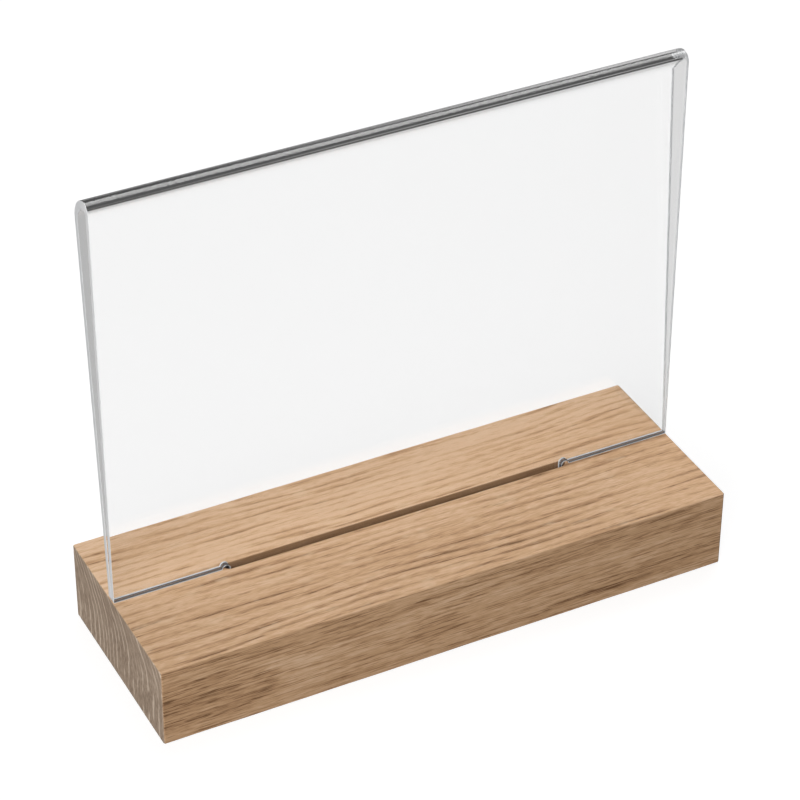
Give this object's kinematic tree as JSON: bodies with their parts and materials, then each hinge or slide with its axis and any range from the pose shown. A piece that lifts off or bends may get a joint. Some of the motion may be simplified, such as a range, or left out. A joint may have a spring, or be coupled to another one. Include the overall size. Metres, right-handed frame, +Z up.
{
  "type": "sign holder",
  "caption": "Tabletop sign holder: a clear sheet folded over into a sleeve for a card, standing by its tongue in a slot in a solid oak block.",
  "frame": {"origin": "centre of the block's footprint, on its underside", "axes": "+X along the block to the right, +Y from the front to the back, +Z up"},
  "size_m": [0.21, 0.074, 0.1815],
  "materials": {
    "oak": "bare oak, sanded, with a thin matt oil",
    "clear_acrylic": "clear, polished faces and polished cut edges"
  },
  "bodies": {
    "block": {"oak_block": "oak"},
    "sleeve": {"acrylic_sleeve": "clear_acrylic"}
  },
  "joints": [
    {"name": "sleeve_lift", "type": "slide", "parent": "block", "child": "sleeve", "axis": [0, 0, 1], "range_m": [0, 0.019]}
  ]
}
